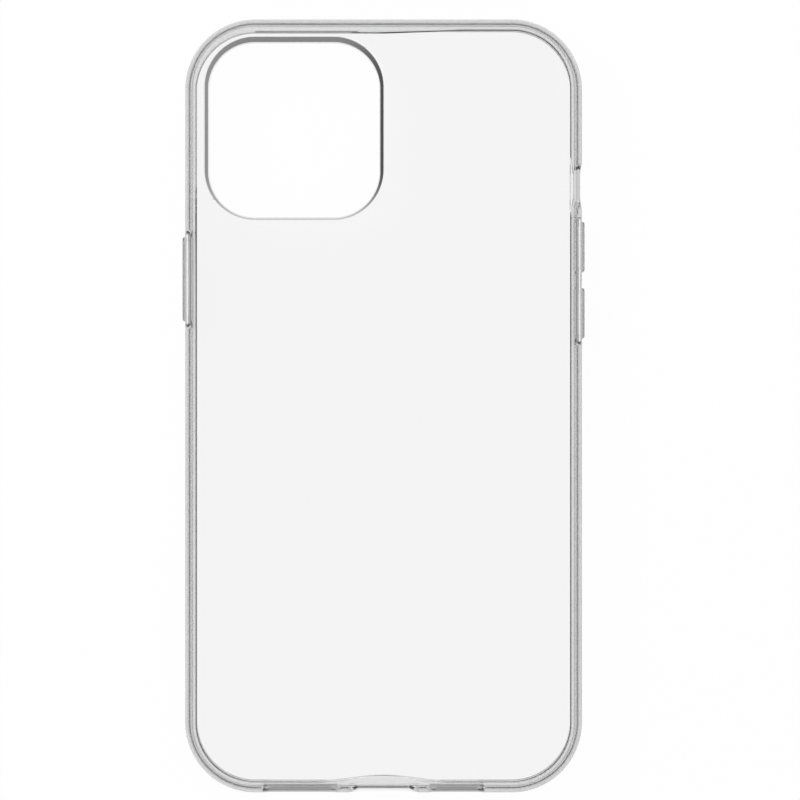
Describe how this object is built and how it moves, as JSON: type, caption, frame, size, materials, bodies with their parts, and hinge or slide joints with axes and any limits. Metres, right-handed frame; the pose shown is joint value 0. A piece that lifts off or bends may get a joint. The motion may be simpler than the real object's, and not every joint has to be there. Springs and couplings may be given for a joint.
{
  "type": "phone case",
  "caption": "Clear hybrid phone case: hard back panel in a soft bumper with a screen lip, camera window rim, port, speaker and mute openings, and button covers that press in.",
  "frame": {"origin": "below the middle of the case, on the surface that its screen lip lies on", "axes": "+Z out of the back panel, +Y towards the top edge with the camera window, +X towards the volume buttons as seen from the back"},
  "size_m": [0.08, 0.1538, 0.0114],
  "materials": {
    "clear_soft_bumper": "gloss",
    "clear_hard_panel": "polished",
    "clear_camera_rim": "gloss",
    "clear_button_web": "satin",
    "clear_button_pad": "satin"
  },
  "bodies": {
    "case": {"bumper_frame": "clear_soft_bumper", "back_panel": "clear_hard_panel", "camera_rim": "clear_camera_rim", "power_button_web": "clear_button_web", "volume_button_web": "clear_button_web"},
    "power_button": {"power_button_pad": "clear_button_pad"},
    "volume_up": {"volume_up_pad": "clear_button_pad"},
    "volume_down": {"volume_down_pad": "clear_button_pad"}
  },
  "joints": [
    {"name": "power_press", "type": "slide", "parent": "case", "child": "power_button", "axis": [1, 0, 0], "range_m": [0, 0.0004], "stiffness_N_per_m": 3000},
    {"name": "volume_up_press", "type": "slide", "parent": "case", "child": "volume_up", "axis": [-1, 0, 0], "range_m": [0, 0.0004], "stiffness_N_per_m": 3000},
    {"name": "volume_down_press", "type": "slide", "parent": "case", "child": "volume_down", "axis": [-1, 0, 0], "range_m": [0, 0.0004], "stiffness_N_per_m": 3000}
  ]
}
